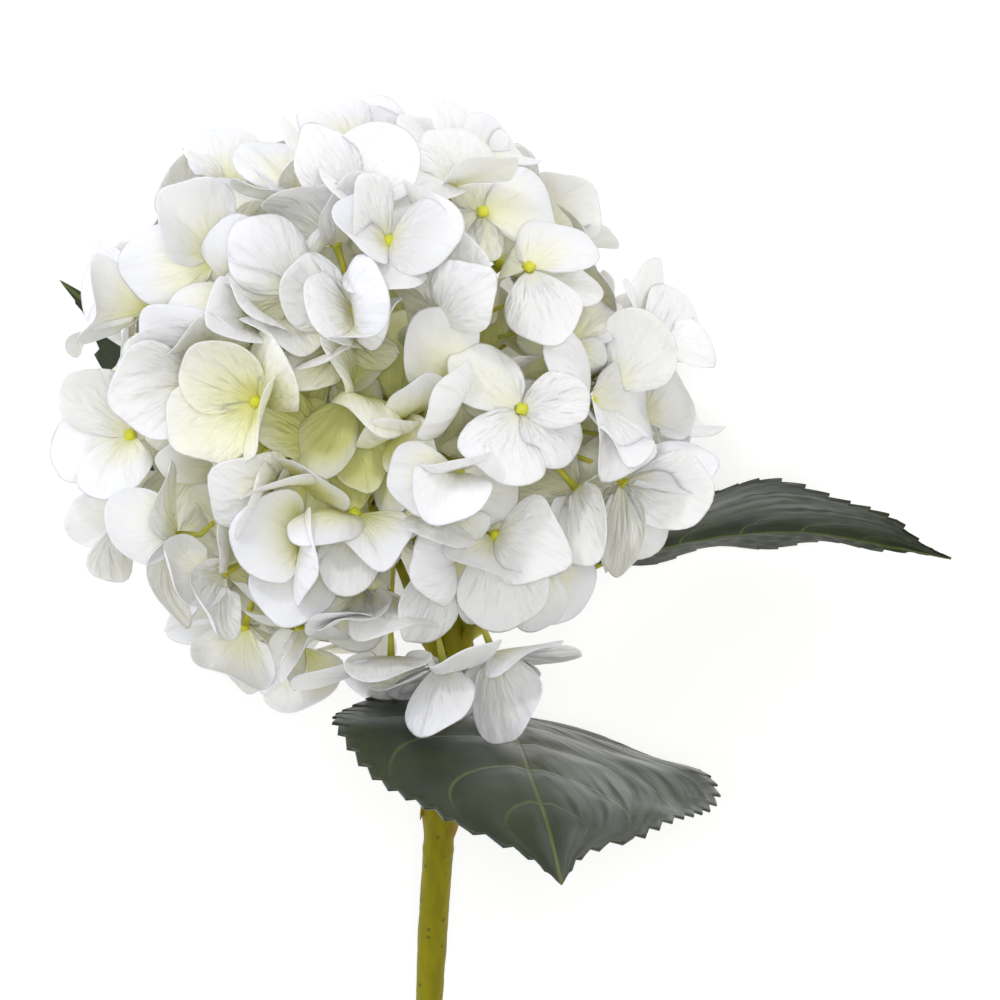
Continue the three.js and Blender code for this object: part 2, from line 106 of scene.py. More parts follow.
def finishMesh(bm, name, material):
    # from millimetres round the ball's middle to metres in the frame
    bmesh.ops.scale(bm, vec=(mm, mm, mm), verts=bm.verts)
    bmesh.ops.translate(bm, vec=headCentre, verts=bm.verts)
    mesh = bpy.data.meshes.new(name)
    bm.to_mesh(mesh)
    bm.free()
    mesh.materials.append(material)
    mesh.polygons.foreach_set("use_smooth", [True] * len(mesh.polygons))
    piece = bpy.data.objects.new(name, mesh)
    bpy.context.scene.collection.objects.link(piece)
    return piece


def thicken(piece, thickness, levels):
    wall = piece.modifiers.new("wall", "SOLIDIFY")
    wall.thickness = thickness * mm
    wall.offset = 0
    if levels:
        soft = piece.modifiers.new("soft", "SUBSURF")
        soft.levels = levels
        soft.render_levels = levels


def addTubes(bm, tubes, sides):
    # round tubes with closed ends, each a line of points with a radius at each
    for line, radii in tubes:
        heading = Vector((0, 0, 1))
        turn = Matrix.Identity(3).to_quaternion()
        firstRing = None
        ringEdges = None
        for i, at in enumerate(line):
            ahead = (line[min(i + 1, len(line) - 1)] - line[max(i - 1, 0)]).normalized()
            turn = heading.rotation_difference(ahead) @ turn
            heading = ahead
            place = Matrix.Translation(at) @ turn.to_matrix().to_4x4()
            ring = bmesh.ops.create_circle(bm, segments=sides, radius=radii[i], matrix=place)["verts"]
            edges = list({edge for vert in ring for edge in vert.link_edges})
            if ringEdges:
                bmesh.ops.bridge_loops(bm, edges=ringEdges + edges)
            firstRing = firstRing or ring
            ringEdges = edges
        for end in (firstRing, ring):
            bmesh.ops.contextual_create(bm, geom=end)
    bmesh.ops.recalc_face_normals(bm, faces=bm.faces)


# Materials

def newMaterial(name, **settings):
    material = bpy.data.materials.new(name)
    material.use_nodes = True
    shader = material.node_tree.nodes["Principled BSDF"]
    for socket, value in settings.items():
        shader.inputs[socket.replace("_", " ")].default_value = value
    return material, material.node_tree, shader


def addNode(tree, kind, **settings):
    node = tree.nodes.new("ShaderNode" + kind)
    for name, value in settings.items():
        setattr(node, name, value)
    return node


def plug(tree, value, socket):
    if isinstance(value, bpy.types.NodeSocket):
        tree.links.new(value, socket)
    else:
        socket.default_value = value


def calc(tree, operation, *values):
    node = addNode(tree, "Math", operation=operation)
    for value, socket in zip(values, node.inputs):
        plug(tree, value, socket)
    return node.outputs[0]


def ramp(tree, value, low, high, first=0.0, last=1.0):
    # eases from first to last as the value goes from low to high
    node = addNode(tree, "MapRange", interpolation_type="SMOOTHSTEP")
    for socket, given in zip(node.inputs, (value, low, high, first, last)):
        plug(tree, given, socket)
    return node.outputs[0]


def blendColours(tree, share, one, other):
    node = addNode(tree, "Mix", data_type="RGBA")
    plug(tree, share, node.inputs[0])
    for value, socket in ((one, node.inputs[6]), (other, node.inputs[7])):
        plug(tree, value if isinstance(value, bpy.types.NodeSocket) else (*value, 1.0), socket)
    return node.outputs[2]


def noiseOf(tree, vector, scale, detail=2.0, roughness=0.5):
    node = addNode(tree, "TexNoise")
    plug(tree, vector, node.inputs["Vector"])
    for socket, value in (("Scale", scale), ("Detail", detail), ("Roughness", roughness)):
        node.inputs[socket].default_value = value
    return node.outputs[0]


def bumpOf(tree, height, distance, strength, normal=None):
    node = addNode(tree, "Bump")
    node.inputs["Distance"].default_value = distance
    node.inputs["Strength"].default_value = strength
    plug(tree, height, node.inputs["Height"])
    if normal:
        plug(tree, normal, node.inputs["Normal"])
    return node.outputs[0]


def ownCoordinates(tree):
    # places on the piece, and the two directions of its own unwrapping
    place = addNode(tree, "TexCoord").outputs["Object"]
    flat = addNode(tree, "SeparateXYZ")
    plug(tree, addNode(tree, "UVMap", uv_map="UVMap").outputs[0], flat.inputs[0])
    return place, flat.outputs[0], flat.outputs[1]


def attributeOf(tree, name):
    return addNode(tree, "Attribute", attribute_name=name).outputs["Fac"]


petalLook = dict(
    white=(0.93, 0.93, 0.925), cream=(0.92, 0.91, 0.68), green=(0.76, 0.76, 0.30), cool=(0.84, 0.855, 0.95),
    mottle=90.0, mottleShare=0.3, creamBetween=(0.1, 0.6), greenBetween=(0.5, 1.1), coolShare=0.55,
    coolBetween=(0.55, 1.0), coolOwn=(0.55, 0.9), wrinkles=11.0, wrinkleRun=2.4, wrinkleKinds=40.0,
    wrinkleDepth=2.2 * mm, smoothest=0.45, grain=2600.0, grainDepth=0.06 * mm,
    surface=dict(
        Roughness=0.62, Specular_IOR_Level=0.3, Subsurface_Weight=0.5, Subsurface_Radius=(1.0, 0.95, 0.75),
        Subsurface_Scale=1.4 * mm,
    ),
)


def petalMaterial():
    # white, cream and then green as the depth attribute grows, partly the sepals' own colour and partly painted shade
    # deep in the ball, with rays of fine wrinkles from the root
    look = petalLook
    material, tree, shader = newMaterial("petal", **look["surface"])
    place, across, along = ownCoordinates(tree)
    depth = attributeOf(tree, "depth")
    own = attributeOf(tree, "own")
    mottle = noiseOf(tree, place, look["mottle"], 3.0)
    wander = calc(tree, "MULTIPLY_ADD", mottle, look["mottleShare"], depth)
    wander = calc(tree, "SUBTRACT", wander, look["mottleShare"] / 2)
    colour = blendColours(tree, ramp(tree, wander, *look["creamBetween"]), look["white"], look["cream"])
    colour = blendColours(tree, ramp(tree, wander, *look["greenBetween"]), colour, look["green"])
    rim = calc(tree, "MULTIPLY", ramp(tree, along, *look["coolBetween"]), ramp(tree, own, *look["coolOwn"]))
    colour = blendColours(tree, calc(tree, "MULTIPLY", rim, look["coolShare"]), colour, look["cool"])
    plug(tree, colour, shader.inputs["Base Color"])
    rays = addNode(tree, "CombineXYZ")
    for value, scale, socket in (
        (across, look["wrinkles"], 0), (along, look["wrinkleRun"], 1), (own, look["wrinkleKinds"], 2),
    ):
        plug(tree, calc(tree, "MULTIPLY", value, scale), rays.inputs[socket])
    wrinkles = noiseOf(tree, rays.outputs[0], 1.0, 2.0, 0.55)
    wrinkles = calc(tree, "MULTIPLY", wrinkles, ramp(tree, along, 0.0, 0.35))
    wrinkles = calc(tree, "MULTIPLY", wrinkles, ramp(tree, own, 0.0, 1.0, 1.0, look["smoothest"]))
    normal = bumpOf(tree, wrinkles, look["wrinkleDepth"], 1.0)
    normal = bumpOf(tree, noiseOf(tree, place, look["grain"], 1.0), look["grainDepth"], 0.5, normal)
    plug(tree, normal, shader.inputs["Normal"])
    return material


beadLook = dict(
    colours=((0.74, 0.70, 0.03), (0.64, 0.66, 0.05)), between=(0.3, 0.7), mottle=700.0, mottleDetail=2.0,
    grain=1500.0, grainDepth=0.2 * mm, grainStrength=0.6, surface=dict(Roughness=0.5, Subsurface_Weight=0.1),
)
stalkLook = dict(
    colours=((0.56, 0.51, 0.03), (0.40, 0.41, 0.05)), between=(0.35, 0.65), mottle=120.0, mottleDetail=3.0,
    grain=900.0, grainDepth=0.2 * mm, grainStrength=0.5, surface=dict(Roughness=0.5),
)


def grainyMaterial(name, look):
    # two colours in soft patches, with a fine grain
    material, tree, shader = newMaterial(name, **look["surface"])
    place = addNode(tree, "TexCoord").outputs["Object"]
    mottle = noiseOf(tree, place, look["mottle"], look["mottleDetail"])
    plug(tree, blendColours(tree, ramp(tree, mottle, *look["between"]), *look["colours"]), shader.inputs["Base Color"])
    grain = bumpOf(tree, noiseOf(tree, place, look["grain"]), look["grainDepth"], look["grainStrength"])
    plug(tree, grain, shader.inputs["Normal"])
    return material


# The palest grey colour here is a painted sheen for the lit half of a blade, not a colour of the leaf
leafLook = dict(
    dark=(0.012, 0.020, 0.005), light=(0.026, 0.036, 0.010), vein=(0.09, 0.115, 0.015), paintedSheen=(0.28, 0.29, 0.28),
    mottle=60.0, archPower=1.6, veinHalf=(0.012, 0.04), veinShare=0.75, midribHalf=(0.25, 0.8), creases=15.0,
    creasesAcross=3.0, creaseSlant=0.8, creaseDepth=1.2 * mm, shadedCreases=0.15, veinDepth=0.5 * mm,
    grain=1500.0, grainDepth=0.08 * mm, roughness=0.42, dullShine=0.1, softness=0.3, sheenTint=(0.93, 0.97, 1.0, 1.0),
)


def leafMaterial(leaf):
    # arching side veins and a midrib on dark green, with a pale painted sheen streaked along satin creases on the half
    # that faces the light
    look = leafLook
    material, tree, shader = newMaterial(
        leaf["name"], Roughness=look["roughness"], Specular_IOR_Level=look["dullShine"] + leaf["gloss"],
        Coat_Weight=leaf["gloss"], Coat_Roughness=look["softness"], Sheen_Weight=leaf["sheen"],
        Sheen_Roughness=look["softness"], Sheen_Tint=look["sheenTint"],
    )
    place, across, along = ownCoordinates(tree)
    aside = calc(tree, "ABSOLUTE", calc(tree, "MULTIPLY_ADD", across, 2.0, -1.0))
    arched = calc(tree, "MULTIPLY", calc(tree, "POWER", aside, look["archPower"]), leaf["arch"])
    phase = calc(tree, "MULTIPLY", calc(tree, "SUBTRACT", along, arched), float(leaf["veins"]))
    offVein = calc(tree, "ABSOLUTE", calc(tree, "SUBTRACT", calc(tree, "FRACT", phase), 0.5))
    sideVein = ramp(tree, offVein, *look["veinHalf"], 1.0, 0.0)
    sideVein = calc(tree, "MULTIPLY", sideVein, ramp(tree, aside, 0.55, 0.98, 1.0, 0.15))
    sideVein = calc(tree, "MULTIPLY", sideVein, ramp(tree, along, 0.6, 0.95, 1.0, 0.0))
    offRib = calc(tree, "MULTIPLY", aside, attributeOf(tree, "span"))
    midrib = ramp(tree, offRib, *look["midribHalf"], 1.0, 0.0)
    lines = calc(tree, "MAXIMUM", calc(tree, "MULTIPLY", sideVein, look["veinShare"]), midrib)
    mottle = noiseOf(tree, place, look["mottle"], 4.0)
    colour = blendColours(tree, ramp(tree, mottle, 0.35, 0.7), look["dark"], look["light"])
    colour = blendColours(tree, lines, colour, look["vein"])
    crinkle = addNode(tree, "CombineXYZ")
    onwards = calc(tree, "SUBTRACT", along, calc(tree, "MULTIPLY", aside, look["creaseSlant"]))
    plug(tree, calc(tree, "MULTIPLY", onwards, look["creases"]), crinkle.inputs[0])
    plug(tree, calc(tree, "MULTIPLY", aside, look["creasesAcross"]), crinkle.inputs[1])
    creases = noiseOf(tree, crinkle.outputs[0], 1.0)
    # the lit half gets a pale grey painted into its colour in streaks along the creases: a painted sheen
    lit = calc(tree, "MULTIPLY", ramp(tree, across, *leaf["litAcross"]), ramp(tree, along, 0.5, 0.85, 1.0, 0.15))
    paintedSheenMask = calc(tree, "MULTIPLY", lit, ramp(tree, creases, 0.32, 0.64, 0.2, 1.0))
    paintedSheenMask = calc(tree, "MULTIPLY", paintedSheenMask, ramp(tree, aside, 0.45, 1.0, 1.0, 0.45))
    colour = blendColours(tree, calc(tree, "MULTIPLY", paintedSheenMask, leaf["paintedSheen"]), colour, look["paintedSheen"])
    plug(tree, colour, shader.inputs["Base Color"])
    raised = calc(tree, "MULTIPLY_ADD", lit, 1 - look["shadedCreases"], look["shadedCreases"])
    normal = bumpOf(tree, calc(tree, "MULTIPLY", creases, raised), look["creaseDepth"], 0.8)
    normal = bumpOf(tree, calc(tree, "MULTIPLY", lines, -1.0), look["veinDepth"], 0.6, normal)
    normal = bumpOf(tree, noiseOf(tree, place, look["grain"]), look["grainDepth"], 0.5, normal)
    plug(tree, normal, shader.inputs["Normal"])
    return material


barkLook = dict(
    olive=(0.270, 0.240, 0.004), shade=(0.200, 0.185, 0.004), stain=(0.11, 0.085, 0.008), speck=(0.09, 0.06, 0.02),
    scar=(0.28, 0.085, 0.02), streaks=420.0, streakLength=(1.0, 0.12, 1.0), streakDepth=0.4 * mm, mottle=70.0,
    stainShare=0.35, specks=260.0, speckReach=(0.10, 0.2), speckShare=0.6, speckDepth=0.2 * mm,
    surface=dict(Roughness=0.5, Specular_IOR_Level=0.15),
)


def barkMaterial():
    # streaks along the stem, darker stains, raised specks and brown scars
    look = barkLook
    material, tree, shader = newMaterial("bark", **look["surface"])
    place = addNode(tree, "TexCoord").outputs["Object"]
    drawn = addNode(tree, "Mapping")
    drawn.inputs["Scale"].default_value = look["streakLength"]
    plug(tree, place, drawn.inputs[0])
    streaks = noiseOf(tree, drawn.outputs[0], look["streaks"], 3.0)
    mottle = noiseOf(tree, place, look["mottle"], 4.0)
    colour = blendColours(tree, ramp(tree, streaks, 0.25, 0.75), look["olive"], look["shade"])
    colour = blendColours(tree, ramp(tree, mottle, 0.6, 0.8, 0.0, look["stainShare"]), colour, look["stain"])
    dots = addNode(tree, "TexVoronoi")
    dots.inputs["Scale"].default_value = look["specks"]
    plug(tree, place, dots.inputs["Vector"])
    speck = ramp(tree, dots.outputs["Distance"], *look["speckReach"], 1.0, 0.0)
    speck = calc(tree, "MULTIPLY", speck, look["speckShare"])
    colour = blendColours(tree, speck, colour, look["speck"])
    colour = blendColours(tree, attributeOf(tree, "scar"), colour, look["scar"])
    plug(tree, colour, shader.inputs["Base Color"])
    normal = bumpOf(tree, streaks, look["streakDepth"], 0.6)
    plug(tree, bumpOf(tree, speck, look["speckDepth"], 0.6, normal), shader.inputs["Normal"])
    return material


petal = petalMaterial()
beadYellow = grainyMaterial("bead", beadLook)
stalkGreen = grainyMaterial("stalk", stalkLook)
print("materials made")

# The stem
stemForm = dict(
    knob=(20, -46, -8), knobRadius=6.2, tip=(3, -6, 0), tipRadius=4.2, innerRadius=3.4, innerTaper=1.0,
    tipLength=0.12, sides=20, steps=200, innerSteps=20, joints=(0.085, 0.265), swelling=1.5, swellingLength=0.020,
    ring=0.31, ringHeight=0.3, ringLength=0.005, grain=0.2,
)
stemStops = [
    dict(at=(20, -46, -8), radius=4.4),
    dict(at=(23.5, -70, -14), radius=4.3),
    dict(at=(19.5, -115, -25.4), radius=4.3),
    dict(at=(16, -170, -38.8), radius=3.3),
    dict(at=(14.5, -235, -54.7), radius=3.5),
    dict(at=(14, -302, -70.2), radius=3.7),
]
sideShoots = dict(  # they leave the stem just under the ball and end inside it
    routes=(
        ((24, -74, -14), (27.5, -63, -8), (33, -50, 6), (36, -40, 14)),
        ((22, -73, -13), (15.5, -64, -5), (12, -52, 8), (8, -42, 16)),
    ),
    radius=2.2, taper=0.05, steps=20, sides=12,
)
tornFlake = dict(  # its places are picture points with a height
    route=((432, 800, -24), (424, 806, -23), (420, 820, -22)), radii=(1.5, 1.4, 1.2, 1.0, 0.8, 0.6, 0.45, 0.3, 0.12),
    sides=8, foot=(424, 809, -24), stain=2.6, stainShare=0.6,
)
budScar = dict(at=(449, 827, -24), stain=2.0, lip=0.5, lipAt=2.4, lipWidth=0.9, hollow=0.8, hollowWidth=1.6)


def stemRadius(way):
    form = stemForm
    stop = min(int(way * (len(stemStops) - 1)), len(stemStops) - 2)
    share = way * (len(stemStops) - 1) - stop
    plain = stemStops[stop]["radius"] * (1 - share) + stemStops[stop + 1]["radius"] * share
    swollen = sum(bell(way - joint, form["swellingLength"]) for joint in form["joints"])
    return plain + form["swelling"] * swollen + form["ringHeight"] * bell(way - form["ring"], form["ringLength"])


def innerRadius(left):
    # the stem's last stretch tapers and ends in a small knob, with so much of its length left
    form = stemForm
    knob = (form["tipRadius"] - form["innerRadius"]) * bell(left, form["tipLength"])
    return form["innerRadius"] + form["innerTaper"] * left + knob


def makeStem():
    form = stemForm
    line = lineThrough([stop["at"] for stop in stemStops], form["steps"])
    radii = [stemRadius(i / form["steps"]) for i in range(form["steps"] + 1)]
    inner = lineThrough([form["knob"], form["tip"]], form["innerSteps"])
    innerRadii = [innerRadius(1 - i / form["innerSteps"]) for i in range(form["innerSteps"] + 1)]
    bm = bmesh.new()
    addTubes(bm, [(line, radii), (inner, innerRadii)], form["sides"])
    shoots = sideShoots
    shootRadii = [shoots["radius"] - shoots["taper"] * i for i in range(shoots["steps"] + 1)]
    addTubes(bm, [(lineThrough(route, shoots["steps"]), shootRadii) for route in shoots["routes"]], shoots["sides"])
    torn = lineThrough([seen(*place) for place in tornFlake["route"]], len(tornFlake["radii"]) - 1)
    addTubes(bm, [(torn, tornFlake["radii"])], tornFlake["sides"])
    ball = bmesh.ops.create_uvsphere(bm, u_segments=form["sides"], v_segments=12, radius=form["knobRadius"])["verts"]
    bmesh.ops.translate(bm, vec=form["knob"], verts=ball)
    bm.normal_update()
    scar = bm.verts.layers.float.new("scar")
    flakeFoot, bud = seen(*tornFlake["foot"]), seen(*budScar["at"])
    for vert in bm.verts:
        rough = noise.noise(vert.co * Vector((0.5, 0.12, 0.5))) + 0.5 * noise.noise(vert.co * 0.9)
        near = (vert.co - bud).length
        dent = budScar["lip"] * bell(near - budScar["lipAt"], budScar["lipWidth"])
        dent -= budScar["hollow"] * bell(near, budScar["hollowWidth"])
        vert.co += vert.normal * (rough * form["grain"] + dent)
        stained = tornFlake["stainShare"] * bell((vert.co - flakeFoot).length, tornFlake["stain"])
        vert[scar] = max(bell(near, budScar["stain"]), stained)
    return finishMesh(bm, "stem_bark", barkMaterial())


# The leaves
bladeForm = dict(
    thickness=0.7, columns=24, rowsPerTooth=5, ribSteps=160, shoulder=0.75, tipFrom=0.8, tipLength=0.12, tipDrawn=0.45,
    tooth=1.9, toothPeak=0.82, lean=1.6, marginSharpness=14, waves=3, quilt=0.8, crinkle=0.35, folds=15,
    foldsAcross=3, shadedFolds=0.4, groove=0.8, grooveWidth=1.2, lowest=0.05,
)
petioleForm = dict(radius=2.0, taper=1.3, steps=24, sides=12)
# Each leaf gives how strongly the painted sheen shows on its lit half
leaves = [
    dict(
        name="leaf_front", petiole=((20, -110, -24), (26, -98, -14)),
        midrib=((38, -85.5, -3), (41.5, -91, 30), (45, -99.5, 63), (49, -110.5, 90), (52.3, -124, 107)),
        side=(0.95, -0.30, 0.05), tipSide=(0.99, 0.05, 0.05), halfWidth=54, widest=0.45, drop=1.4,
        lift=(0.08, 0.17), droop=(0, 0.55), wave=0.03, teeth=24, veins=5, arch=0.38,
        sheen=0.25, gloss=0.32, paintedSheen=0.9, litAcross=(0.45, 0.72),
    ),
    dict(
        name="leaf_right", petiole=((23.2, -66, -13), (42, -55, -18)),
        midrib=((62, -44, -23), (92, -36, -27), (122, -33.5, -29), (147, -37.5, -31), (166, -42, -33)),
        side=(0, -0.26, -0.965), tipSide=(0, -0.26, -0.965), halfWidth=37, widest=0.36, drop=1.7,
        lift=(0.12, 0.12), droop=(0, 0), wave=0.04, teeth=18, veins=6, arch=0.6,
        sheen=0.0, gloss=0.0, paintedSheen=0.9, litAcross=(0.5, 0.1),
    ),
    dict(
        name="leaf_left", petiole=((23.2, -66, -13), (11, -58, -27)),
        midrib=((-3, -45, -44), (-20, -29, -66), (-42, -8, -75), (-70, 19, -75), (-94, 40, -75)),
        side=(-0.68, -0.73, 0), tipSide=(-0.68, -0.73, 0), halfWidth=34, widest=0.36, drop=1.2,
        lift=(0, 0), droop=(0, 0), wave=0.0, teeth=18, veins=7, arch=0.34,
        sheen=0.1, gloss=0.2, paintedSheen=0.0, litAcross=(0.45, 0.72),
    ),
]


def leafOutline(leaf, way):
    # half the width along the blade: a round shoulder, then a drawn-out tip
    form = bladeForm
    shoulder = min(1.0, way / leaf["widest"])
    taper = max(0.0, (way - leaf["widest"]) / (1 - leaf["widest"]))
    drawn = 1 - form["tipDrawn"] * min(1.0, max(0.0, (way - form["tipFrom"]) / form["tipLength"]))
    rounded = math.sin(shoulder * math.pi / 2) ** form["shoulder"]
    return leaf["halfWidth"] * rounded * (1 - taper ** leaf["drop"]) * drawn


def bladePoint(leaf, rib, side, way):
    # side goes from -1 to 1 across the blade, and way from 0 to 1 along it
    form = bladeForm
    row = way * (len(rib) - 1)
    k = min(int(row), len(rib) - 2)
    at = rib[k].lerp(rib[k + 1], row - k)
    along = (rib[min(k + 2, len(rib) - 1)] - rib[max(k - 1, 0)]).normalized()
    level = Vector(leaf["side"]).lerp(Vector(leaf["tipSide"]), way)
    level = (level - along * level.dot(along)).normalized()
    up = along.cross(level)
    aside = abs(side)
    ends = min(1.0, 6 * way, 6 * (1 - way))  # everything fades out at both ends

    # teeth, which lean towards the tip
    step = way * leaf["teeth"] % 1.0
    peak = form["toothPeak"]
    point = step / peak if step < peak else (1 - step) / (1 - peak)
    margin = aside ** form["marginSharpness"] * ends
    reach = aside * leafOutline(leaf, way) - form["tooth"] * (1 - point) * margin

    # each half lifts from the midrib, droops towards the tip and waves
    half = 0 if side < 0 else 1
    ripple = aside * leaf["wave"] * math.sin(2 * math.pi * form["waves"] * way + side)
    rise = leaf["lift"][half] - leaf["droop"][half] * way + ripple

    # it swells between the side veins and folds into creases
    phase = (way - leaf["arch"] * aside ** leafLook["archPower"]) * leaf["veins"]
    offVein = abs(phase % 1.0 - 0.5)
    puff = (1 - bell(offVein, 0.2)) * min(1.0, reach / 4) * (1 - aside ** 6) * ends
    onwards = way - leafLook["creaseSlant"] * aside
    place = Vector((onwards * form["folds"], aside * form["foldsAcross"], leaf["halfWidth"]))
    folds = noise.noise(place) * (1 - aside ** 3)
    folds *= 1.0 if (side > 0) == (leaf["litAcross"][1] > 0.5) else form["shadedFolds"]
    height = form["quilt"] * puff + form["crinkle"] * folds * ends
    height -= form["groove"] * bell(reach, form["grooveWidth"]) * ends

    sign = math.copysign(1.0, side)
    spot = at + level * (sign * reach * math.cos(rise)) + up * (reach * math.sin(rise) + height)
    spot += along * (form["lean"] * point * margin)
    spot.z = max(spot.z, form["thickness"] / 2 + form["lowest"] - headLift)
    return spot


def makeBlade(leaf):
    form = bladeForm
    rib = lineThrough(leaf["midrib"], form["ribSteps"])
    bm = bmesh.new()
    bm.loops.layers.uv.new("UVMap")
    span = bm.verts.layers.float.new("span")
    rows = leaf["teeth"] * form["rowsPerTooth"]
    bmesh.ops.create_grid(bm, x_segments=form["columns"], y_segments=rows, size=1, calc_uvs=True)
    for vert in bm.verts:
        side, way = vert.co.x, (vert.co.y + 1) / 2
        vert[span] = leafOutline(leaf, way)
        vert.co = bladePoint(leaf, rib, side, way)
    bmesh.ops.remove_doubles(bm, verts=bm.verts, dist=0.01)
    blade = finishMesh(bm, leaf["name"] + "_blade", leafMaterial(leaf))
    thicken(blade, form["thickness"], 0)
    return blade, rib


def makePetiole(leaf, rib):
    # it runs from the stem on under the first stretch of the midrib
    form = petioleForm
    line = lineThrough([*leaf["petiole"], rib[8], rib[20]], form["steps"])
    radii = [form["radius"] - form["taper"] * i / form["steps"] for i in range(form["steps"] + 1)]
    bm = bmesh.new()
    addTubes(bm, [(line, radii)], form["sides"])
    return finishMesh(bm, leaf["name"] + "_petiole", stalkGreen)


# The florets
sepalForm = dict(
    length=26.5, root=1.3, sector=math.radians(62), spread=0.96, breadth=0.47, columns=12, rows=5, thickness=0.34,
    edgeWave=0.07, edgeRipple=0.032, point=0.04, pointWidth=0.16, groove=0.5, grooveWidth=0.16, curlFrom=0.65,
    curlEase=0.12, folded=(4.0, 8.0), foldedShare=0.18,
)
sepalRanges = dict(  # what differs from sepal to sepal, each drawn between two values
    breadth=(0.92, 1.08), bow=(-2.5, 5.0), round=(0.38, 0.66), skew=(-0.07, 0.07), lift=(-2.5, 5.0), fold=(-0.6, 1.0),
    ruffle=(0.8, 2.8), curl=(-0.5, 3.2), twist=(-1.5, 3.5), pleat=(0.0, 0.42),
)
roomForm = dict(  # how sepals keep clear of each other, of the stem and leaves, and of what they lie on
    tilts=11, tiltStep=6.0, nearby=42, tiltCost=4, sepalCost=2, solidCost=3, sunkCost=20, sunkFrom=0.3,
    floorGap=1.0, leafGap=3.6, leafEdge=(10, -50),
)
# The yellowing inside the ball is partly the sepals' own cream-green and partly painted shade
depthForm = dict(  # how yellow a sepal gets inside the ball, at its root and round the greenest place
    skin=88.0, fade=34, inside=0.65, root=0.45, ownLeast=0.6, ownMore=0.8, heart=0.75, heartReach=26.0,
)
# where the sepals' own green and the painted shade are strongest
heartAt = seen(333, 430, 58)  # the greenest place of the ball
beadForm = dict(radius=1.8, rise=1.3, lobes=0.12, flatness=0.8, around=8, rows=5)
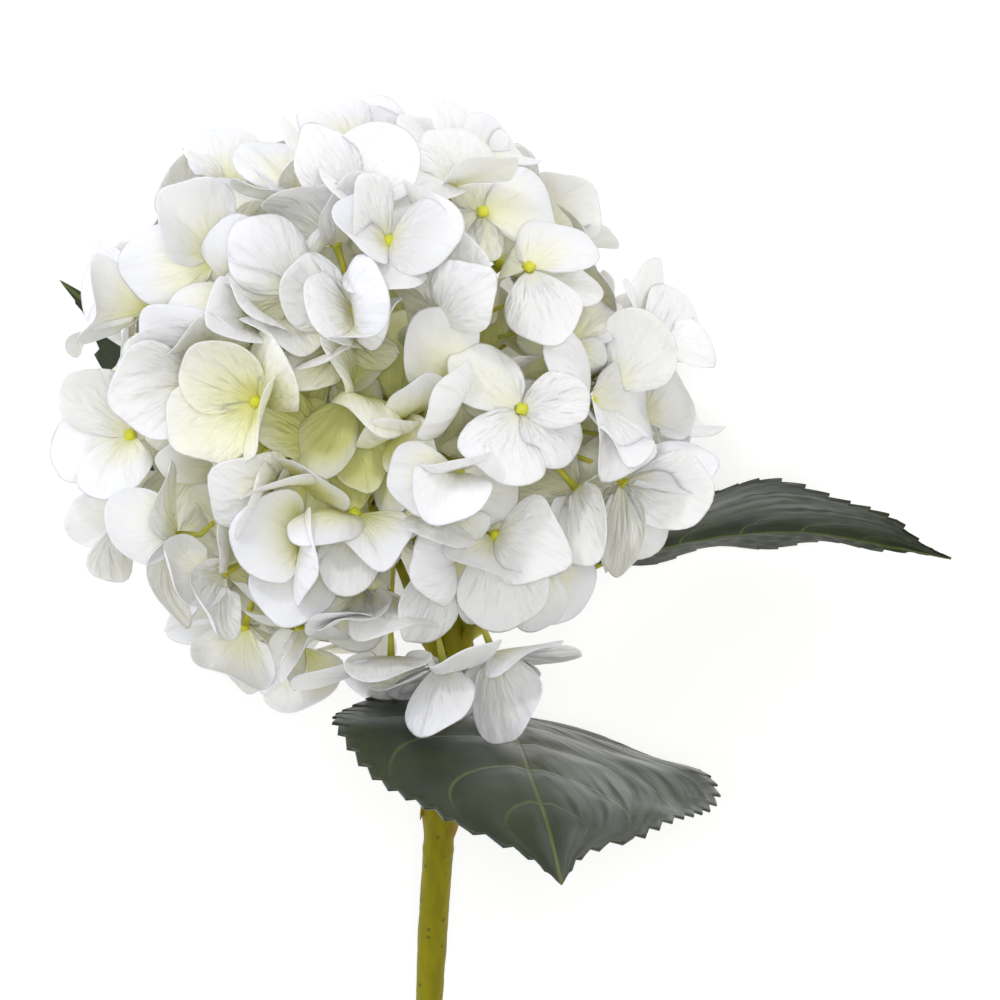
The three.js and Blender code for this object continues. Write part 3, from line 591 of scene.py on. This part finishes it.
# What the picture shows: a floret's bead, with its height over the ball's middle, and the tips of its
# sepals, which lean to the camera (1), away from it (-1) or neither, and may be rolled by some degrees.
# A steady floret's sepals keep to their tips, and a slim one's are narrower.
shownFlorets = [
    dict(
        bead=(391, 656, 44), tips=((387, 691, 1), (292, 691, -1), (380, 700, -1), (446, 654, -1)),
        facing=(0, -1, 0), steady=True,
    ),
    dict(
        bead=(443, 662, 48), tips=((436, 738, 1), (372, 668, -1), (420, 690, -1), (486, 650, 1)),
        facing=(0.2, -1, 0), steady=True,
    ),
    dict(
        bead=(493, 652, 46), tips=((518, 740, 1), (486, 706, -1), (568, 671, -1), (545, 658, 1)),
        facing=(0.4, -1, 0), steady=True,
    ),
    dict(
        bead=(349, 397, 60), tips=((322, 338, 1, 55), (386, 431, 1, -50), (302, 476, 1, 12), (366, 493, 1, -12)),
        facing=(0, 0.2, 1), slim=0.8,
    ),
    dict(bead=(344, 342, 61), tips=((398, 356, 0), (330, 408, 1, 60), (296, 372, 1, 25), (384, 308, 0)), slim=0.85),
    dict(
        bead=(398, 420, 58), tips=((380, 510, 1, 35), (404, 346, 1, 30), (425, 476, 1, 40), (362, 376, 1, -40)),
        facing=(0.1, 0.1, 1), slim=0.75,
    ),
    dict(
        bead=(355, 515, 60), tips=((344, 596, 1), (300, 545, 1, 30), (392, 566, 1, -20), (345, 450, 0)),
        facing=(0, 0.3, 1), slim=0.85,
    ),
    dict(
        bead=(322, 446, 55), tips=((352, 540, 0), (330, 520, 1), (290, 512, 1), (282, 392, 1)),
        facing=(0.8, 0.2, 0.6),
    ),
    dict(bead=(346, 440, 49), tips=((420, 452, 0), (362, 368, 0), (278, 420, 0), (338, 524, 0)), facing=(0.1, 0.1, 1)),
    dict(bead=(330, 380, 50), tips=((398, 362, 0), (300, 318, 0), (276, 420, 0), (372, 440, 0)), facing=(-0.1, 0.2, 1)),
    dict(bead=(520, 410, 72), tips=((590, 396, 0), (460, 346, 0), (506, 470, 1), (574, 460, 0))),
    dict(bead=(458, 472, 77), tips=((384, 490, 0), (446, 420, 1), (436, 532, 1), (510, 500, -1)), facing=(0, 0.1, 1)),
    dict(bead=(389, 242, 66), tips=((452, 232, 1), (352, 189, 1), (332, 226, 1), (385, 286, 1))),
    dict(bead=(303, 293, 65), tips=((350, 250, -1), (238, 224, 1), (240, 318, -1), (310, 352, -1))),
    dict(bead=(529, 270, 54), tips=((597, 282, -1), (582, 237, -1), (488, 316, -1), (556, 346, 1))),
    dict(bead=(258, 402, 68), tips=((283, 352, 1), (190, 350, 1), (172, 442, 1), (272, 440, 1)), tint=0.3),
    dict(bead=(443, 320, 68), tips=((478, 276, 1), (440, 248, 1), (398, 300, -1), (440, 372, -1))),
    dict(bead=(356, 314, 70), tips=((420, 290, 1), (308, 280, 1), (280, 322, 1), (378, 338, 1))),
    dict(bead=(452, 187, 38), tips=((502, 160, 1), (462, 131, -1), (408, 138, 0), (400, 182, 1))),
    dict(bead=(440, 512, 66), tips=((487, 540, 0), (440, 455, -1), (388, 525, 0), (436, 556, 1))),
    dict(bead=(452, 556, 56), tips=((500, 600, -1), (470, 500, -1), (388, 572, 1), (412, 640, 1))),
    dict(bead=(495, 536, 57), tips=((562, 556, 1), (510, 470, -1), (462, 590, 1), (510, 631, 0))),
    dict(bead=(575, 487, 50), tips=((604, 440, -1), (512, 462, -1), (540, 536, 0), (594, 557, 1))),
    dict(
        bead=(288, 483, 59), tips=((280, 436, 1), (222, 490, 1), (276, 532, 1), (330, 478, 1)),
        facing=(0, -0.5, 0.85),
    ),
    dict(bead=(303, 538, 57), tips=((346, 576, 1, 35), (322, 500, -1), (212, 530, 1), (283, 624, 1)), facing=(0, 0, 1)),
    dict(bead=(178, 535, 44), tips=((232, 520, -1), (168, 472, 1), (101, 520, 1), (168, 627, 1))),
    dict(bead=(204, 384, 57), tips=((250, 380, -1), (170, 330, -1), (111, 404, 1), (160, 452, -1))),
    dict(bead=(219, 258, 45), tips=((290, 225, -1), (224, 178, -1), (160, 190, 1), (120, 268, 1))),
    dict(bead=(588, 402, 49), tips=((566, 342, 1), (600, 480, 1), (638, 455, 1), (652, 418, -1))),
    dict(bead=(482, 213, 42), tips=((570, 188, 0), (492, 262, 0), (425, 258, 0), (470, 160, 0))),
    dict(bead=(337, 247, 58), tips=((385, 262, -1), (352, 164, 1), (288, 204, 1), (300, 262, -1))),
    dict(bead=(356, 160, 14), tips=((420, 128, -1), (388, 103, -1), (318, 101, -1), (286, 152, 1))),
    dict(bead=(468, 160, 16), tips=((519, 145, -1), (468, 106, -1), (412, 112, -1), (470, 215, 1))),
    dict(bead=(352, 208, 55), tips=((404, 205, 1), (378, 143, 1), (330, 147, 1), (300, 215, 1))),
    dict(bead=(300, 196, 39), tips=((345, 185, 1), (265, 133, -1), (246, 158, 1), (237, 208, 1))),
    dict(bead=(224, 190, 14), tips=((283, 165, -1), (233, 127, -1), (181, 150, 0), (180, 185, 1))),
    dict(bead=(250, 292, 50), tips=((300, 325, 0), (235, 232, 1), (193, 286, 1), (176, 322, 1)), facing=(-0.3, 0.2, 1)),
    dict(bead=(428, 222, 54), tips=((470, 215, -1), (440, 172, -1), (392, 170, 0), (425, 248, 1))),
    dict(bead=(456, 396, 64), tips=((520, 370, -1), (446, 328, 1), (405, 385, 1), (440, 440, -1))),
    dict(bead=(257, 322, 60), tips=((310, 318, -1), (252, 290, 1), (226, 340, 1), (300, 350, 1))),
    dict(bead=(215, 350, 57), tips=((262, 385, -1), (205, 298, 1), (150, 310, 1), (126, 348, 1))),
    dict(bead=(150, 312, 30), tips=((150, 255, -1), (98, 260, -1), (90, 312, 1), (72, 345, -1))),
    dict(bead=(268, 452, 56), tips=((320, 440, -1), (262, 400, -1), (208, 452, 0), (290, 500, -1))),
    dict(bead=(132, 436, 34), tips=((190, 420, -1), (66, 376, 1), (55, 443, -1), (102, 498, 1))),
    dict(bead=(135, 512, 10), tips=((190, 500, -1), (110, 450, -1), (64, 522, 0), (125, 575, -1))),
    dict(bead=(226, 572, 46), tips=((290, 590, -1), (200, 492, 1), (165, 570, 1), (212, 622, 1))),
    dict(bead=(245, 624, 24), tips=((295, 655, -1), (240, 570, -1), (188, 632, -1), (226, 680, 1))),
    dict(bead=(300, 626, 32), tips=((350, 600, -1), (250, 595, -1), (270, 696, 0), (320, 664, 1))),
    dict(bead=(300, 648, 2), tips=((350, 640, -1), (262, 640, -1), (289, 712, 0), (308, 702, 1))),
    dict(bead=(362, 588, 50), tips=((400, 575, 1), (350, 530, -1), (318, 610, 1), (352, 643, 1))),
    dict(bead=(530, 560, 34), tips=((586, 600, -1), (560, 510, -1), (480, 600, -1), (540, 632, 0))),
    dict(bead=(570, 346, 45), tips=((614, 360, 0), (608, 297, -1), (540, 310, -1), (560, 400, -1))),
    dict(bead=(612, 388, 38), tips=((655, 395, -1), (638, 332, 1), (580, 352, -1), (610, 440, -1))),
    dict(bead=(642, 354, 20), tips=((716, 362, 0), (694, 298, -1), (655, 262, -1), (628, 290, 1))),
    dict(bead=(642, 420, 18), tips=((704, 430, -1), (684, 384, 1), (610, 380, -1), (650, 470, -1))),
    dict(bead=(622, 482, 32), tips=((712, 502, 1), (716, 460, -1), (580, 440, -1), (630, 576, 1))),
]
# The florets that the picture doesn't show are spread evenly over the rest of the ball, and under those it shows
hidden = dict(
    steps=62, orbit=67.0, bottom=-1.0, top=0.25, apart=24.0, stemAngle=math.radians(37), cup=math.radians(30),
)
inner = dict(
    steps=92, orbit=54.0, bottom=-0.1, top=1.0, apart=9.5, stemAngle=math.radians(48), cup=math.radians(30),
)
core = dict(
    steps=40, orbit=40.0, bottom=0.0, top=1.0, apart=9.5, stemAngle=math.radians(60), cup=math.radians(25),
)
goldenTurn = math.pi * (3 - math.sqrt(5))
sprayForm = dict(
    count=14, reach=1.72, forkOrbit=30.0, sides=6, stalkSteps=8, neck=7.0, neckRadii=(1.2, 0.75), stalkRadius=0.62,
    sag=1.5, raySteps=10, rayRadius=1.5, forkRadii=(1.8, 2.2, 2.6, 1.6), forkDepth=1.08,
)
draw = random.Random(417)


def sprayWays():
    ways = []
    for i in range(sprayForm["count"]):
        y = 1 - (i + 0.5) * sprayForm["reach"] / sprayForm["count"]
        flat = math.sqrt(1 - y * y)
        ways.append(Vector((flat * math.cos(i * goldenTurn), y, flat * math.sin(i * goldenTurn))))
    return ways


def sideOf(tips, base):
    # the way a floret faces: across its neighbouring sepals and a little outwards
    around = sorted(tips, key=lambda tip: math.atan2(tip.y - base.y, tip.x - base.x))
    facing = Vector()
    for one, other in zip(around, around[1:] + around[:1]):
        facing += (one - base).normalized().cross((other - base).normalized())
    outward = base.normalized()
    if facing.dot(outward) < 0:
        facing = -facing
    return (facing.normalized() + 0.5 * outward).normalized()


def evenTips(base, way, cup):
    start = draw.uniform(0, math.tau)
    tips = []
    for quarter in range(4):
        spoke = Matrix.Rotation(start + quarter * math.pi / 2, 3, way) @ way.orthogonal().normalized()
        lean = cup + draw.uniform(-0.2, 0.2)
        tips.append(base + (spoke * math.cos(lean) + way * math.sin(lean)) * sepalForm["length"])
    return tips


def shownFloret(row):
    base = seen(*row["bead"])
    tips = []
    rolls = []
    for across, down, lean, *roll in row["tips"]:
        flat = seen(across, down, base.z) - base
        rise = math.sqrt(max(0.0, sepalForm["length"] ** 2 - flat.length_squared)) * lean
        tips.append(seen(across, down, base.z + rise))
        rolls.append(math.radians(roll[0] if roll else 0))
    facing = Vector(row["facing"]) if "facing" in row else sideOf(tips, base)
    return dict(
        base=base, facing=facing, tips=tips, rolls=rolls, slim=row.get("slim", 1.0), tint=row.get("tint", 0.0),
        steady=row.get("steady", False), filler=False,
    )


def listFlorets():
    florets = [shownFloret(row) for row in shownFlorets]
    stemWay = Vector(stemStops[1]["at"]).normalized()
    for layer in (hidden, inner, core):
        for i in range(layer["steps"]):
            z = 1 - (2 * i + 1) / layer["steps"]
            flat = math.sqrt(1 - z * z)
            way = Vector((flat * math.cos(i * goldenTurn), flat * math.sin(i * goldenTurn), z))
            base = way * layer["orbit"]
            crowded = any((floret["base"] - base).length < layer["apart"] for floret in florets)
            inRange = layer["bottom"] < z < layer["top"] and way.angle(stemWay) > layer["stemAngle"]
            if inRange and not crowded:
                florets.append(dict(
                    base=base, facing=way, tips=evenTips(base, way, layer["cup"]), rolls=[0] * 4, slim=1.0, tint=0.0,
                    steady=False, filler=layer is not hidden,
                ))
    return florets


def sepalPoint(sepal, side, way):
    # side goes from -1 to 1 across the sepal, and way from 0 to 1 outwards
    form = sepalForm
    length = sepal["length"]
    angle = side * form["sector"] * form["spread"]
    reach = length * math.cos(angle * math.pi / 2 / form["sector"]) ** sepal["round"]
    reach *= 1 + sepal["skew"] * side + form["edgeWave"] * math.sin(5 * side + sepal["phase"]) * abs(side)
    ripple = form["edgeRipple"] * math.sin(11 * side + 3 * sepal["phase"])
    reach *= 1 - ripple + form["point"] * bell(side, form["pointWidth"])
    radius = form["root"] + (reach - form["root"]) * way
    along = radius * math.cos(angle)
    across = radius * math.sin(angle) * sepal["breadth"]
    s = along / length
    w = across / (form["breadth"] * length)
    height = sepal["bow"] * 4 * s * (1 - s) + sepal["lift"] * w * w * (0.3 + 0.7 * s)
    height += sepal["fold"] * abs(w) * (0.4 + 0.6 * s)
    height += sepal["twist"] * w * s
    height += sepal["ruffle"] * math.sin(3.4 * side + sepal["phase"]) * way ** 3
    height += 0.45 * sepal["ruffle"] * math.sin(8.5 * side + 2 * sepal["phase"]) * way ** 3
    height += sepal["pleat"] * math.sin(12 * side + sepal["phase"]) * way ** 1.5
    height -= sepal["curl"] * max(0.0, way - form["curlFrom"]) ** 2 / form["curlEase"]
    height -= form["groove"] * bell(w, form["grooveWidth"]) * s * (1.2 - s)
    spot = sepal["base"] + sepal["u"] * along + sepal["v"] * across + sepal["n"] * height
    low = lowestAllowed(spot) - spot.z
    return spot + Vector((0, 0, max(0.0, low)))


gridWays = [i / sepalForm["rows"] for i in range(sepalForm["rows"] + 1)]
gridSides = [2 * i / sepalForm["columns"] - 1 for i in range(sepalForm["columns"] + 1)]
gridCells = [
    (i * len(gridSides) + j, i * len(gridSides) + j + 1, (i + 1) * len(gridSides) + j + 1, (i + 1) * len(gridSides) + j)
    for i in range(1, sepalForm["rows"]) for j in range(sepalForm["columns"])
]


def aimSepal(sepal, facing, tilt):
    # point a sepal at its tip, raised towards the floret's front by the tilt
    away = sepal["tip"] - sepal["base"]
    u = away.normalized()
    v = facing.cross(u)
    v = v.normalized() if v.length > 0.05 else u.orthogonal().normalized()
    v = Matrix.Rotation(sepal["roll"], 3, u) @ v
    u = Matrix.Rotation(-tilt, 3, v) @ u
    sepal.update(u=u, v=v, n=u.cross(v), length=away.length)
    points = [sepalPoint(sepal, side, way) for way in gridWays for side in gridSides]
    sepal["tree"] = BVHTree.FromPolygons(points, gridCells)
    sepal["middle"] = sepal["base"] + u * away.length * 0.55
    sepal["sunk"] = max(0.0, max(lowestAllowed(point) + roomForm["sunkFrom"] - point.z for point in points))


def lowestAllowed(at):
    # sepals stay above the surface, and further above it where the pressed leaf lies
    form = roomForm
    overLeaf = at.x < form["leafEdge"][0] and at.y > form["leafEdge"][1]
    return -headLift + (form["leafGap"] if overLeaf else form["floorGap"])


def settleSepal(sepal, floret, grown, solids):
    # the least tilt that keeps a sepal clear of those already there; gives back how much still crosses
    form = roomForm
    best = None
    halfway = (sepal["base"] + sepal["tip"]) / 2
    near = [other for other in grown if (other["middle"] - halfway).length < form["nearby"]]
    for step in range(1 if floret["steady"] else form["tilts"]):
        tilt = math.radians(form["tiltStep"] * ((step + 1) // 2) * (1 if step % 2 else -1))
        aimSepal(sepal, floret["facing"], tilt)
        cost = abs(tilt) * form["tiltCost"]
        cost += form["sepalCost"] * sum(len(sepal["tree"].overlap(other["tree"])) for other in near)
        cost += form["solidCost"] * sum(len(sepal["tree"].overlap(solid)) for solid in solids)
        cost += form["sunkCost"] * sepal["sunk"]
        if best is None or cost < best[0]:
            best = (cost, tilt)
        if cost <= abs(tilt) * form["tiltCost"]:
            break
    aimSepal(sepal, floret["facing"], best[1])
    return best[0] - abs(best[1]) * form["tiltCost"]


def growFlorets(florets, solids):
    grown = []
    for floret in florets:
        own = []
        for tip, roll in zip(floret["tips"], floret["rolls"]):
            folded = draw.random() < sepalForm["foldedShare"]
            ranges = dict(sepalRanges, fold=sepalForm["folded"]) if folded else sepalRanges
            sepal = {trait: draw.uniform(*between) for trait, between in ranges.items()}
            sepal["breadth"] *= floret["slim"]
            sepal.update(base=floret["base"], tip=tip, roll=roll, tint=floret["tint"])
            sepal.update(phase=draw.uniform(0, math.tau), own=draw.random())
            crossing = settleSepal(sepal, floret, grown, solids)
            if not floret["filler"] or crossing < 1:
                own.append(sepal)
        grown.extend(own)
        floret["sepals"] = own
    return [floret for floret in florets if floret["sepals"]]


def addSepal(bm, sepal, depthLayer, ownLayer):
    form = sepalForm
    shade = depthForm
    made = bmesh.ops.create_grid(bm, x_segments=form["columns"], y_segments=form["rows"], size=1, calc_uvs=True)
    for vert in made["verts"]:
        way = (vert.co.y + 1) / 2
        vert.co = sepalPoint(sepal, vert.co.x, way)
        # yellower deeper inside the ball and at the root: partly own colour, partly painted shade
        inside = min(1.0, max(0.0, (shade["skin"] - vert.co.length) / shade["fade"]))
        heart = bell((vert.co - heartAt).length, shade["heartReach"])
        own = shade["ownLeast"] + shade["ownMore"] * sepal["own"]
        yellow = (shade["inside"] * inside + shade["root"] * (1 - way) ** 2) * own
        vert[depthLayer] = yellow + shade["heart"] * heart + sepal["tint"]
        vert[ownLayer] = sepal["own"]


def addBead(bm, floret):
    # a slightly flattened ball with four lobes
    form = beadForm
    made = bmesh.ops.create_uvsphere(
        bm, u_segments=form["around"], v_segments=form["rows"], radius=form["radius"],
    )["verts"]
    turn = floret["facing"].to_track_quat("Z", "Y").to_matrix().to_4x4()
    for vert in made:
        lobe = 1 + form["lobes"] * math.cos(4 * math.atan2(vert.co.y, vert.co.x))
        vert.co = Vector((vert.co.x * lobe, vert.co.y * lobe, vert.co.z * form["flatness"]))
    place = Matrix.Translation(floret["base"] + floret["facing"] * form["rise"]) @ turn
    bmesh.ops.transform(bm, matrix=place, verts=made)


def stalkTubes(florets, fork):
    # a stalk from each floret to the fork, and the ray from the stem to the fork
    form = sprayForm
    tubes = []
    for floret in florets:
        top = floret["base"] + floret["facing"] * 0.2
        bend = floret["base"] - floret["facing"] * form["neck"]
        middle = bend.lerp(fork, 0.5) + Vector((0, 0, -form["sag"]))
        line = lineThrough([top, bend, middle, fork], form["stalkSteps"])
        slender = len(line) - len(form["neckRadii"])
        tubes.append((line, [*form["neckRadii"]] + [form["stalkRadius"]] * slender))
    upwards = min(1.0, max(0.0, (fork.y / form["forkOrbit"] + 0.75) / 1.1))
    foot = Vector(stemForm["knob"]).lerp(Vector(stemForm["tip"]), upwards)
    line = lineThrough([foot, fork, fork * form["forkDepth"]], form["raySteps"])
    even = len(line) - len(form["forkRadii"])
    tubes.append((line, [form["rayRadius"]] * even + [*form["forkRadii"]]))
    return tubes


def makeSpray(index, florets, way):
    name = f"spray_{index + 1:02d}"
    bm = bmesh.new()
    bm.loops.layers.uv.new("UVMap")
    depthLayer = bm.verts.layers.float.new("depth")
    ownLayer = bm.verts.layers.float.new("own")
    for floret in florets:
        for sepal in floret["sepals"]:
            addSepal(bm, sepal, depthLayer, ownLayer)
    sepals = finishMesh(bm, name + "_sepals", petal)
    thicken(sepals, sepalForm["thickness"], 1)
    bm = bmesh.new()
    for floret in florets:
        addBead(bm, floret)
    beads = finishMesh(bm, name + "_centres", beadYellow)
    bm = bmesh.new()
    addTubes(bm, stalkTubes(florets, way * sprayForm["forkOrbit"]), sprayForm["sides"])
    return name, sepals, beads, finishMesh(bm, name + "_stalks", stalkGreen)


def dress(piece, slot, *nodes):
    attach(piece, "root")
    if nodes:
        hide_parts(*nodes)


def solidOf(piece):
    # a piece in the sizes the plant grows in, for what grows later to keep clear of
    points = [(vert.co - headCentre) / mm for vert in piece.data.vertices]
    return BVHTree.FromPolygons(points, [tuple(face.vertices) for face in piece.data.polygons])


stem = makeStem()
dress(stem, "woody_stem", "stem")
solids = [solidOf(stem)]
for leaf in leaves:
    blade, rib = makeBlade(leaf)
    dress(blade, "leaf_blade", leaf["name"])
    dress(makePetiole(leaf, rib), "stalks")
    solids.append(solidOf(blade))
print("stem and leaves grown")

florets = growFlorets(listFlorets(), solids)
ways = sprayWays()
for floret in florets:
    floret["spray"] = max(range(len(ways)), key=lambda i: ways[i].dot(floret["base"].normalized()))
for i, way in enumerate(ways):
    name, sepals, beads, stalks = makeSpray(i, [floret for floret in florets if floret["spray"] == i], way)
    dress(sepals, "sepals", name)
    dress(beads, "floret_centres")
    dress(stalks, "stalks")
print(len(florets), "florets grown in", len(ways), "sprays")

# The surface, the lights and the camera
stageForm = dict(
    floor=4.0, floorColour=(0.50, 0.50, 0.50), floorShade=0.985, floorGlow=0.62, patches=3.0,
    world=0.60, worldColour=(1.0, 0.995, 0.98, 1.0),
    lights=[
        dict(name="key", at=(-0.35, 0.60, 0.95), size=0.14, power=2.6, colour=(0.98, 0.98, 1.0)),
        dict(name="front", at=(0.05, -0.02, 1.22), size=0.2, power=3.0, colour=(1.0, 1.0, 0.985)),
        dict(name="fill", at=(0.75, -0.25, 0.80), size=0.7, power=0.6, colour=(1.0, 0.99, 0.97)),
        dict(name="side", at=(0.90, 0.85, 0.28), size=0.35, power=2.0, colour=(1.0, 1.0, 1.0)),
        dict(name="cool", at=(-1.00, 0.35, 0.30), size=0.5, power=3.0, colour=(0.76, 0.79, 1.0)),
    ],
)


def makeStage():
    form = stageForm
    material, tree, shader = newMaterial("surface", Roughness=0.9)
    place = addNode(tree, "TexCoord").outputs["Object"]
    shade = [value * form["floorShade"] for value in form["floorColour"]]
    patches = noiseOf(tree, place, form["patches"])
    plug(tree, blendColours(tree, patches, shade, form["floorColour"]), shader.inputs["Base Color"])
    shader.inputs["Emission Color"].default_value = (1.0, 1.0, 1.0, 1.0)
    shader.inputs["Emission Strength"].default_value = form["floorGlow"]
    bm = bmesh.new()
    bmesh.ops.create_grid(bm, x_segments=1, y_segments=1, size=form["floor"] / 2)
    mesh = bpy.data.meshes.new("surface")
    bm.to_mesh(mesh)
    bm.free()
    mesh.materials.append(material)
    floor = bpy.data.objects.new("surface", mesh)
    bpy.context.scene.collection.objects.link(floor)
    for light in form["lights"]:
        lamp = bpy.data.lights.new(light["name"], "AREA")
        lamp.size = light["size"]
        lamp.energy = light["power"]
        lamp.color = light["colour"]
        holder = bpy.data.objects.new(light["name"], lamp)
        holder.location = headCentre + Vector(light["at"])
        holder.rotation_euler = (-Vector(light["at"])).to_track_quat("-Z", "Y").to_euler()
        bpy.context.scene.collection.objects.link(holder)
    world = bpy.data.worlds.new("studio")
    world.use_nodes = True
    background = world.node_tree.nodes["Background"]
    background.inputs[0].default_value = form["worldColour"]
    background.inputs[1].default_value = form["world"]
    bpy.context.scene.world = world
    bpy.context.scene.view_settings.view_transform = "Standard"


def makeCamera():
    lens = bpy.data.cameras.new("camera")
    lens.sensor_width = view["sensor"]
    lens.lens = view["sensor"] * view["distance"] / (view["width"] * view["unit"])
    camera = bpy.data.objects.new("camera", lens)
    camera.location = headCentre + Vector((*view["middle"], view["distance"])) * mm
    bpy.context.scene.collection.objects.link(camera)
    bpy.context.scene.camera = camera


makeStage()
makeCamera()
print("stage set")
